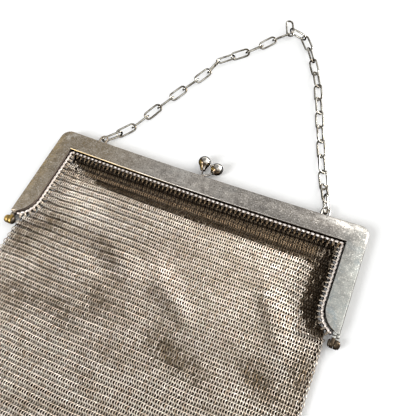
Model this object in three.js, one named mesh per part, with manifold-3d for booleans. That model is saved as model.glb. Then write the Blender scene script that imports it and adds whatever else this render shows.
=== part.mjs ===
// A metal mesh purse, lying on its back: a hinged frame of folded sheet with a kiss lock, a pouch of ring
// mesh sewn to it with a spiral wire, and a chain of oval wire links.
//
// Millimetres, +Z up. The purse is laid out with x along the frame's bar, y = 0 on the bar's outer edge with
// +y towards the chain, and z = 0 on the surface it lies on. The group is then moved so that its origin is
// the middle of the bounding box's bottom.
import * as THREE from 'three';
import { mergeVertices } from 'three/addons/utils/BufferGeometryUtils.js';
import Module from 'manifold-3d';

const wasm = await Module();
wasm.setup();

// Sizes of the frame
const FRAME_WIDTH = 150; // over the two legs
const FRAME_LENGTH = 48.3; // from the bar's outer edge to the ends of the legs
const BAR_WIDTH = 9.3;
const LEG_WIDTH = 8.3;
const CORNER_RADIUS = 4.3; // outer corners
const LEG_ROUNDING = 10; // height of the rounding at the inner end of a leg
const BAR_DIP = 1.0; // the bar sags this much towards the bag at its middle
const HALF_DEPTH = 2.1; // depth of each half of the frame
const SPLIT_GAP = 0.3; // between the closed halves
const SHEET = 1.0; // plate thickness
const RIM = 1.0; // width of the rim bent back round the outer edge
const FLANGE = 0.8; // width of the flange along the inner edge
const EDGE_ROUNDING = 0.3;

// Hinge
const EAR_WIDTH = 1.3;
const EAR_DROP = 3.7; // hinge axis below the ends of the legs
const EAR_OVERHANG = 0.4; // outer ear beyond the frame's side
const EAR_LAP = 1.5; // of an ear's neck over the end of its leg
const EAR_MARGIN = 0.45; // ear radius is this much less than half the closed frame's depth
const PIN_RADIUS = 0.6;
const PIN_HEAD_RADIUS = 1.75;
const PIN_HEAD_HEIGHT = 0.8;

// Clasp
const BALL_RADIUS = 2.85;
const BALL_TAPER = 4.3; // from the teardrop ball's centre to the end of its taper
const BALL_COLLAR = 3.1; // the same for the round ball's short collar
const COLLAR_RADIUS = 1.15;
const NUB_RADIUS = 0.75;
const STEM_RADIUS = 0.45;
const STEM_REACH = 1.5; // length of stem inside a ball
const STEM_ROOT_X = -2.9;
const BALLS = {
  left: { x: -4.3, y: 7.0, z: 3.0 },
  right: { x: 2.6, y: 5.3, z: 3.0 },
};

// Mesh pouch and its binding
const BINDING_RADIUS = 0.5;
const BINDING_LAP = 0.1; // how much closer the two bindings lie than the frame's halves allow
const BAG_TO_HINGE = 1.2; // between the pouch's side and the hinge pin's inner head
const BAG_LENGTH = 168; // from the bar's outer edge
const BAG_WALL = 1.0;
const BAG_HEIGHT = 3.5; // front of the pouch above the surface it lies on
const BAG_CORNER = 14; // rounding of the lower corners
const BAG_EDGE_DROP = 0.5; // how far the front falls off at its side and lower edges
const EDGE_FALL = 5; // width over which it does so

// Chain
const LINK_LENGTH = 10.95;
const LINK_WIDTH = 4.4;
const LINK_WIRE = 0.95; // wire diameter
const LINKS_PER_RUN = 14; // on each side of the turned link at the far end
const EYE_OFFSET = 20; // centre of each eye from the frame's side
const EYE_RADIUS = 1.7;
const EYE_WIRE_RADIUS = 0.5;
const EYE_REACH = 3.7; // from the bar's outer edge to the middle of the eye's wire
const EYE_SEAT = 0.1; // of the eye's wire above the front half's inner edge
const EYE_JOINT_DROP = 0.35; // the chain's end joints hang this far below the eyes' middle
const CHAIN_LIFT = 0.05; // of a link's lower limb off the surface

const CLEARANCE = 0.3; // between pieces that meet
const RUNNING = 0.2; // round the hinge pins and in the balls' holes

// Folds of the pouch's front. Places are shares of the bag's width from its middle and of its length from
// the bar; run and across are shares of its width, rise is a share of its height, and turn is the run's
// angle from the bar in degrees.
const FOLDS = [
  { name: 'left shoulder swell', place: [-0.31, 0.22], run: 0.114, across: 0.064, turn: -12, rise: 0.16 },
  { name: 'upper left valley', place: [-0.18, 0.33], run: 0.064, across: 0.036, turn: -31, rise: -0.21 },
  { name: 'upper left ridge', place: [-0.1, 0.32], run: 0.071, across: 0.043, turn: -35, rise: 0.16 },
  { name: 'middle ridge', place: [0.05, 0.335], run: 0.107, across: 0.036, turn: -28, rise: 0.20 },
  { name: 'middle crease', place: [0.03, 0.385], run: 0.092, across: 0.028, turn: -26, rise: -0.17 },
  { name: 'left lower hollow', place: [-0.25, 0.45], run: 0.064, across: 0.050, turn: 60, rise: -0.20 },
  { name: 'left lower ridge', place: [-0.17, 0.47], run: 0.092, across: 0.043, turn: 62, rise: 0.16 },
  { name: 'central hollow', place: [0.19, 0.46], run: 0.085, across: 0.050, turn: 10, rise: -0.19 },
  { name: 'right ridge', place: [0.36, 0.3], run: 0.100, across: 0.036, turn: -58, rise: 0.20 },
  { name: 'right crease', place: [0.31, 0.315], run: 0.092, across: 0.028, turn: -60, rise: -0.16 },
  { name: 'right hollow', place: [0.37, 0.44], run: 0.078, across: 0.050, turn: 25, rise: -0.20 },
  { name: 'lower swell', place: [-0.1, 0.68], run: 0.213, across: 0.114, turn: 8, rise: 0.13 },
  { name: 'lower right swell', place: [0.24, 0.78], run: 0.128, across: 0.100, turn: -10, rise: 0.10 },
];

// The route of the chain on each side, from the eye to the turned link: x as a share of the eyes' distance
// from the middle, y as a share of the chain's reach.
const LEFT_ROUTE = [
  [-0.845, 0.129], [-0.724, 0.284], [-0.589, 0.448], [-0.453, 0.607], [-0.407, 0.696],
  [-0.296, 0.752], [-0.18, 0.812], [0.007, 0.948],
];
const TURN_PLACE = [0.105, 1.0];
const RIGHT_ROUTE = [
  [0.19, 1.02], [0.3, 0.965], [0.39, 0.88], [0.527, 0.737], [0.642, 0.564], [0.755, 0.387],
  [0.865, 0.219], [0.962, 0.083],
];
// The link that stands out of the chain at its far end: degrees, and where along its limb the next one hooks.
const TURNED_LINK = { bearing: 112, lean: 9, roll: 8, hook: 0.36 };
// How each link is rolled about its own length, in degrees: 0 lies flat and 90 stands on its side.
const ROLLS = [
  { upTo: 1, odd: -82 },
  { upTo: 8, odd: -54, even: 32 },
  { upTo: 10, odd: -68, even: -6 },
  { upTo: 11, odd: 46 },
  { upTo: 13, odd: 33, even: -42 },
  { upTo: 14, odd: 33, even: -50 },
  { upTo: 16, odd: TURNED_LINK.roll, even: 90 },
  { upTo: 17, odd: 14 },
  { upTo: 19, odd: 30, even: -48 },
  { upTo: 27, odd: 30, even: -36 },
  { upTo: 29, odd: 72, even: -34 },
];
// Links that hang slack: what each takes up of the chain's length, as a share of a link pulled straight.
const SLACK = { 1: 0.74, 28: 0.7, 29: 0.66 };

// Colours from the photo
const MATERIALS = {
  frame: new THREE.MeshStandardMaterial({ color: 0x9a9286, roughness: 0.38, metalness: 1 }),
  worn: new THREE.MeshStandardMaterial({ color: 0xb59a63, roughness: 0.35, metalness: 1 }),
  bright: new THREE.MeshStandardMaterial({ color: 0xd9d6cc, roughness: 0.2, metalness: 1 }),
  mesh: new THREE.MeshStandardMaterial({ color: 0xa39886, roughness: 0.45, metalness: 1 }),
};

const FRAME_DEPTH = 2 * HALF_DEPTH + SPLIT_GAP;
const MID_HEIGHT = FRAME_DEPTH / 2;
const HALF_WIDTH = FRAME_WIDTH / 2;
const LEG_INSIDE = HALF_WIDTH - LEG_WIDTH;
const EAR_RADIUS = MID_HEIGHT - EAR_MARGIN;
const HINGE_Y = -FRAME_LENGTH - EAR_DROP;
const EAR_OUTSIDE = HALF_WIDTH + EAR_OVERHANG;
const EAR_INSIDE = EAR_OUTSIDE - 2 * EAR_WIDTH - CLEARANCE;
const PIN_INSIDE = EAR_INSIDE - RUNNING;
const PIN_OUTSIDE = EAR_OUTSIDE + RUNNING;
const BAG_HALF_WIDTH = PIN_INSIDE - PIN_HEAD_HEIGHT - BAG_TO_HINGE;
const BAG_WIDTH = 2 * BAG_HALF_WIDTH;
const EYE_X = HALF_WIDTH - EYE_OFFSET;
const EYE_HEIGHT = HALF_DEPTH + SPLIT_GAP + EYE_WIRE_RADIUS + EYE_SEAT;

const radians = THREE.MathUtils.degToRad;

const purse = new THREE.Group();
const parts = new THREE.Group();
purse.add(parts);

function addPart(name, geometry, material) {
  const mesh = new THREE.Mesh(geometry, material);
  mesh.name = name;
  parts.add(mesh);
  return mesh;
}

// Closed geometry to a solid that can be joined and cut, and back.
function solidOf(geometry) {
  const bare = geometry.clone();
  bare.deleteAttribute('normal');
  bare.deleteAttribute('uv');
  const merged = mergeVertices(bare, 1e-4);
  return new wasm.Manifold(new wasm.Mesh({
    numProp: 3,
    vertProperties: new Float32Array(merged.attributes.position.array),
    triVerts: new Uint32Array(merged.index.array),
  }));
}

function geometryOf(solid) {
  const mesh = solid.getMesh();
  const geometry = new THREE.BufferGeometry();
  geometry.setAttribute('position', new THREE.BufferAttribute(new Float32Array(mesh.vertProperties), 3));
  geometry.setIndex(new THREE.BufferAttribute(new Uint32Array(mesh.triVerts), 1));
  geometry.computeVertexNormals();
  return geometry;
}

// A round bar of even-sided section along a path.
function barAlong(path, radius, sides, steps) {
  const section = new THREE.Shape();
  for (let side = 0; side < sides; side++) {
    const angle = (2 * Math.PI * side) / sides;
    const corner = [radius * Math.cos(angle), radius * Math.sin(angle)];
    if (side === 0) section.moveTo(...corner);
    else section.lineTo(...corner);
  }
  return new THREE.ExtrudeGeometry(section, { extrudePath: path, steps });
}

function smooth(points) {
  return new THREE.CatmullRomCurve3(points, false, 'centripetal');
}

// A path that keeps exactly to its corners: each of its steps is one of the given points.
class CornerPath extends THREE.Curve {
  constructor(points) {
    super();
    this.points = points;
  }

  getPoint(share) {
    const last = this.points.length - 1;
    const index = Math.min(Math.floor(share * last + 1e-6), last - 1);
    return this.points[index].clone().lerp(this.points[index + 1], share * last - index);
  }

  getPointAt(share) {
    return this.getPoint(share);
  }

  getTangentAt(share) {
    const step = 1e-3 / this.points.length;
    const after = this.getPoint(Math.min(1, share + step)).sub(this.getPoint(share)).normalize();
    const before = this.getPoint(share).sub(this.getPoint(Math.max(0, share - step))).normalize();
    return after.add(before).normalize();
  }
}

// The bar's sag at x, measured from its straight line.
function sag(x) {
  const share = Math.min(1, Math.abs(x) / (HALF_WIDTH - CORNER_RADIUS));
  return -BAR_DIP * (1 - share * share);
}

// Outline of the frame, or of its cavity: outer edges moved in by outerInset, inner edges moved out from the
// opening by innerInset, and the legs lengthened by legExtra.
function frameOutline(outerInset, innerInset, legExtra) {
  const barSteps = 10;
  const outerX = HALF_WIDTH - outerInset;
  const innerX = LEG_INSIDE + innerInset;
  const radius = Math.max(CORNER_RADIUS - outerInset, 0.5);
  const legEnd = -FRAME_LENGTH - legExtra;
  const shape = new THREE.Shape();
  shape.moveTo(-outerX, legEnd);
  shape.lineTo(-outerX, -outerInset - radius);
  shape.absarc(-outerX + radius, -outerInset - radius, radius, Math.PI, Math.PI / 2, true);
  for (let step = 1; step < barSteps; step++) {
    const x = (outerX - radius) * ((2 * step) / barSteps - 1);
    shape.lineTo(x, -outerInset + sag(x));
  }
  shape.absarc(outerX - radius, -outerInset - radius, radius, Math.PI / 2, 0, true);
  shape.lineTo(outerX, legEnd);
  if (legExtra > 0) {
    shape.lineTo(innerX, legEnd);
  } else {
    shape.absellipse(HALF_WIDTH, legEnd + LEG_ROUNDING, LEG_WIDTH, LEG_ROUNDING, -Math.PI / 2, -Math.PI, true, 0);
  }
  for (let step = 0; step <= barSteps; step++) {
    const x = innerX * (1 - (2 * step) / barSteps);
    shape.lineTo(x, -BAR_WIDTH + innerInset + (step % barSteps ? sag(x) : sag(innerX)));
  }
  if (legExtra > 0) {
    shape.lineTo(-innerX, legEnd);
  } else {
    shape.absellipse(-HALF_WIDTH, legEnd + LEG_ROUNDING, LEG_WIDTH, LEG_ROUNDING, 0, -Math.PI / 2, true, 0);
  }
  return shape;
}

function boxBetween(x, y, z) {
  const box = new THREE.BoxGeometry(x[1] - x[0], y[1] - y[0], z[1] - z[0]);
  return box.translate((x[0] + x[1]) / 2, (y[0] + y[1]) / 2, (z[0] + z[1]) / 2);
}

function rodAlongX(radius, xFrom, xTo, y, z) {
  const rod = new THREE.CylinderGeometry(radius, radius, xTo - xFrom, 16);
  return rod.rotateZ(Math.PI / 2).translate((xFrom + xTo) / 2, y, z);
}

// x range of an ear on the right side. The back half's ears are outside the front half's.
function earSpan(front) {
  const start = front ? EAR_INSIDE : EAR_OUTSIDE - EAR_WIDTH;
  return [start, start + EAR_WIDTH];
}

function frameHalf(front) {
  const low = front ? HALF_DEPTH + SPLIT_GAP : 0;
  const block = new THREE.ExtrudeGeometry(frameOutline(0, 0, 0), {
    depth: HALF_DEPTH - 2 * EDGE_ROUNDING,
    bevelEnabled: true,
    bevelThickness: EDGE_ROUNDING,
    bevelSize: EDGE_ROUNDING,
    bevelOffset: -EDGE_ROUNDING,
    bevelSegments: 1,
    curveSegments: 6,
  }).translate(0, 0, low + EDGE_ROUNDING);
  const cavity = new THREE.ExtrudeGeometry(frameOutline(RIM, FLANGE, 2), {
    depth: HALF_DEPTH,
    bevelEnabled: false,
    curveSegments: 3,
  }).translate(0, 0, front ? low - SHEET : low + SHEET);
  let half = solidOf(block).subtract(solidOf(cavity));

  const earTop = -FRAME_LENGTH + EAR_LAP;
  for (const side of [-1, 1]) {
    const span = earSpan(front).map((x) => side * x).sort((a, b) => a - b);
    const neckZ = front ? [low, MID_HEIGHT + EAR_RADIUS] : [MID_HEIGHT - EAR_RADIUS, HALF_DEPTH];
    half = half.add(solidOf(rodAlongX(EAR_RADIUS, ...span, HINGE_Y, MID_HEIGHT)));
    half = half.add(solidOf(boxBetween(span, [HINGE_Y, earTop], neckZ)));
    const holeRadius = PIN_RADIUS + RUNNING;
    half = half.subtract(solidOf(rodAlongX(holeRadius, span[0] - 1, span[1] + 1, HINGE_Y, MID_HEIGHT)));
  }
  return half;
}

// Soldered on the front half: an eye for each end of the chain.
function eye(x) {
  const root = -RIM * 0.6;
  const points = [new THREE.Vector3(x - EYE_RADIUS, root, EYE_HEIGHT)];
  const steps = 6;
  for (let step = 0; step <= steps; step++) {
    const angle = Math.PI * (1 - step / steps);
    points.push(new THREE.Vector3(
      x + EYE_RADIUS * Math.cos(angle),
      EYE_REACH - EYE_RADIUS + EYE_RADIUS * Math.sin(angle),
      EYE_HEIGHT,
    ));
  }
  points.push(new THREE.Vector3(x + EYE_RADIUS, root, EYE_HEIGHT));
  return barAlong(new CornerPath(points), EYE_WIRE_RADIUS, 6, points.length - 1);
}

// Each clasp ball sits on the end of a stem: from is where the stem comes from, seen from the ball.
function ballPlace(side) {
  const { x, y, z } = BALLS[side];
  return new THREE.Vector3(x, y, z);
}
const STEM_START = {
  left: new THREE.Vector3(STEM_ROOT_X + 0.1, -BAR_DIP - 0.6 * RIM, HALF_DEPTH / 2),
  right: new THREE.Vector3(STEM_ROOT_X - 0.4, -BAR_DIP - 0.3 * RIM, FRAME_DEPTH - HALF_DEPTH / 2 + 0.1),
};
const STEM_ELBOW = new THREE.Vector3(STEM_ROOT_X + 3.1, 0.5, FRAME_DEPTH - HALF_DEPTH / 2);
const BALL_AXIS = {
  left: ballPlace('left').sub(STEM_START.left).normalize(),
  right: ballPlace('right').sub(STEM_ELBOW).normalize(),
};
const BALL_NECK = { left: BALL_TAPER, right: BALL_COLLAR };

function stem(side) {
  const axis = BALL_AXIS[side];
  const tip = ballPlace(side).addScaledVector(axis, -BALL_NECK[side] + STEM_REACH);
  const neck = ballPlace(side).addScaledVector(axis, -BALL_NECK[side] - 0.4);
  const start = STEM_START[side];
  const points = side === 'left' ? [start, neck, tip] : [
    start, new THREE.Vector3(start.x + 0.9, -BAR_DIP + 0.7, STEM_ELBOW.z), STEM_ELBOW, neck, tip,
  ];
  return barAlong(smooth(points), STEM_RADIUS, 6, side === 'left' ? 3 : 10);
}

// A ball with its neck along -y and a blind hole in the neck for the stem.
function claspBall(side) {
  const neck = BALL_NECK[side];
  const hole = STEM_RADIUS + RUNNING;
  const leave = side === 'left' ? radians(-35) : radians(-62);
  const rows = 7;
  const profile = [new THREE.Vector2(0, BALL_RADIUS)];
  for (let row = 1; row <= rows; row++) {
    const angle = Math.PI / 2 + (leave - Math.PI / 2) * (row / rows);
    profile.push(new THREE.Vector2(BALL_RADIUS * Math.cos(angle), BALL_RADIUS * Math.sin(angle)));
  }
  profile.push(new THREE.Vector2(COLLAR_RADIUS, -neck));
  profile.push(new THREE.Vector2(hole, -neck));
  profile.push(new THREE.Vector2(hole, -neck + STEM_REACH + CLEARANCE));
  profile.push(new THREE.Vector2(0, -neck + STEM_REACH + CLEARANCE));
  profile.reverse();
  const ball = new THREE.LatheGeometry(profile, 12);
  ball.applyQuaternion(new THREE.Quaternion().setFromUnitVectors(new THREE.Vector3(0, 1, 0), BALL_AXIS[side]));
  const centre = ballPlace(side);
  return solidOf(ball.translate(centre.x, centre.y, centre.z));
}

function hingePin(side) {
  const dome = (base, way) => [
    new THREE.Vector2(PIN_HEAD_RADIUS, base),
    new THREE.Vector2(PIN_HEAD_RADIUS * 0.8, base + way * PIN_HEAD_HEIGHT * 0.6),
    new THREE.Vector2(0, base + way * PIN_HEAD_HEIGHT),
  ];
  const profile = [
    ...dome(PIN_INSIDE, -1).reverse(),
    new THREE.Vector2(PIN_RADIUS, PIN_INSIDE),
    new THREE.Vector2(PIN_RADIUS, PIN_OUTSIDE),
    ...dome(PIN_OUTSIDE, 1),
  ];
  const pin = new THREE.LatheGeometry(profile, 10);
  pin.rotateZ(-Math.PI / 2);
  if (side < 0) pin.rotateZ(Math.PI);
  return pin.translate(0, HINGE_Y, MID_HEIGHT);
}

// Corners of a line round the frame's opening, a distance inside its edge, from the left leg's end to the
// right one's.
function innerEdgePoints(off, z) {
  const roundSteps = 4;
  const barSteps = 8;
  const top = -BAR_WIDTH - off;
  const x = LEG_INSIDE - off;
  const right = [];
  for (let step = 0; step <= roundSteps; step++) {
    const angle = radians(250 - (70 * step) / roundSteps);
    right.push([
      HALF_WIDTH + (LEG_WIDTH + off) * Math.cos(angle),
      -FRAME_LENGTH + LEG_ROUNDING + (LEG_ROUNDING + off) * Math.sin(angle),
    ]);
  }
  for (let step = 0; step < barSteps / 2; step++) {
    const place = x * (1 - (2 * step) / barSteps);
    right.push([place, top + sag(place)]);
  }
  const left = right.map(([px, py]) => [-px, py]);
  const round = [...left, [0, top + sag(0)], ...right.reverse()];
  return round.map(([px, py]) => new THREE.Vector3(px, py, z));
}

// The pouch. Its half width at y follows the frame's inner edge and the binding, then hangs straight.
const BINDING_OFF = CLEARANCE + BINDING_RADIUS;
const BAG_OFF = BINDING_OFF + BINDING_RADIUS + CLEARANCE;
const BAG_TOP = -BAR_WIDTH - BAG_OFF;
const BINDING_HEIGHT = (SPLIT_GAP + CLEARANCE) / 2 + BINDING_RADIUS - BINDING_LAP; // either side of the frame's middle

function bagHalfWidth(y) {
  const legFoot = -FRAME_LENGTH + LEG_ROUNDING;
  if (y >= legFoot) return LEG_INSIDE - BAG_OFF;
  const drop = Math.min(1, (legFoot - y) / (LEG_ROUNDING + BAG_OFF));
  const beside = HALF_WIDTH - (LEG_WIDTH + BAG_OFF) * Math.sqrt(1 - drop * drop);
  const corner = Math.max(0, -BAG_LENGTH + BAG_CORNER - y) / BAG_CORNER;
  return Math.min(beside, BAG_HALF_WIDTH) - BAG_CORNER * (1 - Math.sqrt(Math.max(0, 1 - corner * corner)));
}

function foldRise(x, y) {
  let rise = 0;
  for (const { place, run, across, turn, rise: height } of FOLDS) {
    const dx = x - place[0] * BAG_WIDTH;
    const dy = y + place[1] * BAG_LENGTH;
    const along = (dx * Math.cos(radians(turn)) + dy * Math.sin(radians(turn))) / (run * BAG_WIDTH);
    const over = (dy * Math.cos(radians(turn)) - dx * Math.sin(radians(turn))) / (across * BAG_WIDTH);
    rise += height * BAG_HEIGHT * Math.exp(-(along * along + over * over));
  }
  return rise;
}

// Height of the front's outer face. At the binding it is level with it, and it falls off at the free edges.
function bagFront(x, y) {
  const fromBar = BAG_TOP + sag(x) - y;
  const fromSide = bagHalfWidth(y) - Math.abs(x);
  const fromEnd = y + BAG_LENGTH;
  const belowHinge = y < HINGE_Y;
  const sewn = Math.exp(-Math.max(0, Math.min(fromBar, belowHinge ? Infinity : fromSide)) / EDGE_FALL);
  const free = Math.exp(-Math.max(0, Math.min(fromEnd, belowHinge ? fromSide : Infinity)) / EDGE_FALL);
  const bound = MID_HEIGHT + BINDING_HEIGHT + BINDING_RADIUS;
  const middle = BAG_HEIGHT + foldRise(x, y) * (1 - sewn);
  return middle + (bound - middle) * sewn - BAG_EDGE_DROP * free;
}

// The back lies on the surface, and rises to its own binding.
function bagBack(x, y) {
  const fromBar = BAG_TOP + sag(x) - y;
  const fromSide = bagHalfWidth(y) - Math.abs(x);
  const sewn = Math.exp(-Math.max(0, Math.min(fromBar, y < HINGE_Y ? Infinity : fromSide)) / EDGE_FALL);
  return (MID_HEIGHT - BINDING_HEIGHT - BINDING_RADIUS) * Math.max(0, sewn - 0.1);
}

// Rows of corners down the pouch: even beside the legs, close round their rounded ends, even below, and close
// again at the lower corners.
function bagRows() {
  const legFoot = -FRAME_LENGTH + LEG_ROUNDING;
  const round = LEG_ROUNDING + BAG_OFF;
  const roundEnd = Math.acos((HALF_WIDTH - BAG_HALF_WIDTH) / (LEG_WIDTH + BAG_OFF));
  const beside = 5;
  const rounding = 6;
  const below = 9;
  const corner = 4;
  const rows = [];
  for (let row = 0; row < beside; row++) rows.push(BAG_TOP + (legFoot - BAG_TOP) * (row / beside));
  for (let row = 0; row < rounding; row++) rows.push(legFoot - round * Math.sin((roundEnd * row) / rounding));
  const start = legFoot - round * Math.sin(roundEnd);
  const cornerStart = -BAG_LENGTH + BAG_CORNER;
  for (let row = 0; row < below; row++) rows.push(start + (cornerStart - start) * (row / below));
  for (let row = 0; row <= corner; row++) {
    rows.push(cornerStart - BAG_CORNER * Math.sin((0.97 * Math.PI * row) / (2 * corner)));
  }
  return rows;
}

// A pillow between the pouch's faces, or the hollow inside it: a box whose corners are moved row by row.
function bagBody(hollow) {
  const columns = 16;
  const levels = bagRows();
  const rows = levels.length - 1;
  const inset = hollow ? BAG_WALL : 0;
  const pillow = new THREE.BoxGeometry(2, 1, 2, columns, rows, 1);
  const position = pillow.attributes.position;
  for (let index = 0; index < position.count; index++) {
    const share = position.getX(index);
    const row = Math.round((0.5 - position.getY(index)) * rows);
    const isFront = position.getZ(index) > 0;
    let y = levels[row] + (row === rows ? inset : 0);
    const open = y > HINGE_Y + 1;
    let half = bagHalfWidth(y - (hollow && !open ? inset : 0));
    if (hollow) half += open ? 1 : -inset;
    const x = share * half;
    y += sag(x) * Math.exp((y - BAG_TOP) / (2 * LEG_WIDTH)) + (hollow && row === 0 ? 1 : 0);
    const edgeX = Math.min(Math.abs(x), bagHalfWidth(y)) * Math.sign(x);
    const z = isFront ? bagFront(edgeX, y) - inset : bagBack(edgeX, y) + inset;
    position.setXYZ(index, x, y, z);
  }
  return solidOf(pillow);
}

// A flat oval link: a ring whose two halves are drawn apart.
function linkGeometry() {
  const draw = (LINK_LENGTH - LINK_WIDTH) / 2;
  const link = new THREE.TorusGeometry(LINK_BEND, LINK_WIRE / 2, 5, 14);
  const position = link.attributes.position;
  for (let index = 0; index < position.count; index++) {
    const x = position.getX(index);
    position.setX(index, x + (x > 0 ? draw : -draw));
  }
  return geometryOf(solidOf(link));
}

function rollOf(number) {
  const row = ROLLS.find(({ upTo }) => number <= upTo);
  return number % 2 ? row.odd : row.even;
}

// Axes of a link: its length, the side it can lean to, and its face's direction once rolled.
function linkAxes(along, roll) {
  const side = new THREE.Vector3().crossVectors(along, new THREE.Vector3(0, 0, 1)).normalize();
  const up = new THREE.Vector3().crossVectors(side, along);
  const face = up.multiplyScalar(Math.cos(radians(roll))).addScaledVector(side, Math.sin(radians(roll)));
  const width = new THREE.Vector3().crossVectors(face, along);
  return { along, width, face };
}

const HOOK = (LINK_WIRE + CLEARANCE) / 2; // a link's end beyond the point where it meets the next
const LINK_SPACING = LINK_LENGTH - 2 * LINK_WIRE - CLEARANCE;
const RIGHT_FIRST = LINKS_PER_RUN + 2;
const turnedWay = new THREE.Vector3(
  Math.cos(radians(TURNED_LINK.bearing)) * Math.cos(radians(TURNED_LINK.lean)),
  Math.sin(radians(TURNED_LINK.bearing)) * Math.cos(radians(TURNED_LINK.lean)),
  Math.sin(radians(TURNED_LINK.lean)),
);

const LINK_BEND = (LINK_WIDTH - LINK_WIRE) / 2; // radius of a link's ends on the wire's centre line

// Height at which a rolled link's middle lies when its lower limb rests on the surface.
function lyingHeight(number) {
  return LINK_BEND * Math.abs(Math.sin(radians(rollOf(number)))) + LINK_WIRE / 2 + CHAIN_LIFT;
}

// The two runs of the chain seen from above, and the centre of the turned link's nearer end.
function routes(reach) {
  const flat = (share) => new THREE.Vector3(share[0] * EYE_X, share[1] * reach, 0);
  const eyeJoint = (side, towards) => {
    const centre = new THREE.Vector3(side * EYE_X, EYE_REACH - EYE_RADIUS, 0);
    const way = flat(towards).sub(centre).normalize();
    return centre.addScaledVector(way, EYE_RADIUS - HOOK);
  };
  const turn = flat(TURN_PLACE);
  const arriving = turn.clone().sub(flat(LEFT_ROUTE.at(-1))).normalize();
  const { width } = linkAxes(turnedWay, TURNED_LINK.roll);
  const rightward = width.multiplyScalar(Math.sign(width.x));
  const along = TURNED_LINK.hook * (LINK_LENGTH - LINK_WIRE) - LINK_BEND;
  const hook = turn.clone().addScaledVector(turnedWay, along).addScaledVector(rightward, LINK_BEND - HOOK);
  const left = [eyeJoint(-1, LEFT_ROUTE[0]), ...LEFT_ROUTE.map(flat)];
  left.push(turn.clone().addScaledVector(arriving, -(LINK_BEND - HOOK)));
  const right = [hook.clone().setZ(0), ...RIGHT_ROUTE.map(flat), eyeJoint(1, RIGHT_ROUTE.at(-1))];
  return { turn, hook, left: smooth(left), right: smooth(right) };
}

// Shares of a run's length taken by each of its links.
function takeUp(first) {
  return Array.from({ length: LINKS_PER_RUN }, (_, index) => SLACK[first + index] ?? 1);
}

function sum(shares) {
  return shares.reduce((total, share) => total + share, 0);
}

// The chain lies as far from the bar as its length lets it.
function chainReach() {
  let low = 2 * LINK_LENGTH;
  let high = 2 * LINKS_PER_RUN * LINK_LENGTH;
  const tightest = 0.99;
  for (let step = 0; step < 40; step++) {
    const reach = (low + high) / 2;
    const { left, right } = routes(reach);
    const leftSpacing = left.getLength() / sum(takeUp(1));
    const rightSpacing = right.getLength() / sum(takeUp(RIGHT_FIRST));
    if (Math.max(leftSpacing, rightSpacing) > tightest * LINK_SPACING) high = reach;
    else low = reach;
  }
  return low;
}

function addLink(number, centre, along) {
  const { width, face } = linkAxes(along, rollOf(number));
  const link = addPart(`link_${String(number).padStart(2, '0')}`, linkGeometry(), MATERIALS.bright);
  link.quaternion.setFromRotationMatrix(new THREE.Matrix4().makeBasis(along, width, face));
  link.position.copy(centre);
}

// A run of links from one joint to the next along its curve, each joint as high as both links need.
function addRun(curve, first, startHeight, endHeight) {
  const shares = takeUp(first);
  let done = 0;
  const joints = [curve.getPointAt(0).setZ(startHeight)];
  shares.forEach((share, index) => {
    done += share;
    const joint = curve.getPointAt(Math.min(1, done / sum(shares)));
    const isLast = index === shares.length - 1;
    const number = first + index;
    joint.z = isLast ? endHeight : Math.max(lyingHeight(number), lyingHeight(number + 1));
    joints.push(joint);
    const start = joints[index];
    addLink(number, start.clone().add(joint).multiplyScalar(0.5), joint.clone().sub(start).normalize());
  });
}

// Frame
const eyes = [-EYE_X, EYE_X].map((x) => solidOf(eye(x)));
let front = frameHalf(true).add(solidOf(stem('right')));
for (const part of eyes) front = front.add(part);
addPart('frame_front', geometryOf(front), MATERIALS.frame);
addPart('frame_back', geometryOf(frameHalf(false).add(solidOf(stem('left')))), MATERIALS.frame);
addPart('hinge_pin_left', hingePin(-1), MATERIALS.worn);
addPart('hinge_pin_right', hingePin(1), MATERIALS.worn);

// Clasp
const nubWay = ballPlace('left').sub(ballPlace('right')).normalize();
const nubPlace = ballPlace('right').addScaledVector(nubWay, BALL_RADIUS + 0.25 * NUB_RADIUS);
const nub = new THREE.SphereGeometry(NUB_RADIUS, 8, 6).translate(nubPlace.x, nubPlace.y, nubPlace.z);
addPart('clasp_ball_left', geometryOf(claspBall('left')), MATERIALS.bright);
addPart('clasp_ball_right', geometryOf(claspBall('right').add(solidOf(nub))), MATERIALS.bright);

// Pouch
for (const [name, way] of [['binding_wire_front', 1], ['binding_wire_back', -1]]) {
  const height = MID_HEIGHT + way * BINDING_HEIGHT;
  const corners = innerEdgePoints(BINDING_OFF, height);
  const wire = barAlong(new CornerPath(corners), BINDING_RADIUS, 6, corners.length - 1);
  addPart(name, wire, MATERIALS.mesh);
}
addPart('mesh_bag', geometryOf(bagBody(false).subtract(bagBody(true))), MATERIALS.mesh);

// Chain
const chain = routes(chainReach());
const eyeJointHeight = EYE_HEIGHT - EYE_JOINT_DROP;
const turnHeight = lyingHeight(RIGHT_FIRST);
addRun(chain.left, 1, eyeJointHeight, turnHeight);
const turnedCentre = chain.turn.clone().addScaledVector(turnedWay, (LINK_LENGTH - LINK_WIDTH) / 2);
addLink(LINKS_PER_RUN + 1, turnedCentre.setZ(turnedCentre.z + turnHeight), turnedWay);
addRun(chain.right, RIGHT_FIRST, chain.hook.z + turnHeight, eyeJointHeight);

// Origin at the middle of the bounding box's bottom
purse.updateMatrixWorld(true);
const box = new THREE.Box3().setFromObject(parts, true);
parts.position.set(-(box.min.x + box.max.x) / 2, -(box.min.y + box.max.y) / 2, -box.min.z);
purse.updateMatrixWorld(true);

export default purse;
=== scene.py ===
"""A metal mesh purse lying on its back: materials, ring mesh, spiral bindings, smooth chain and balls."""

import math

import bpy
import numpy as np
from mathutils import Matrix, Vector


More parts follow.
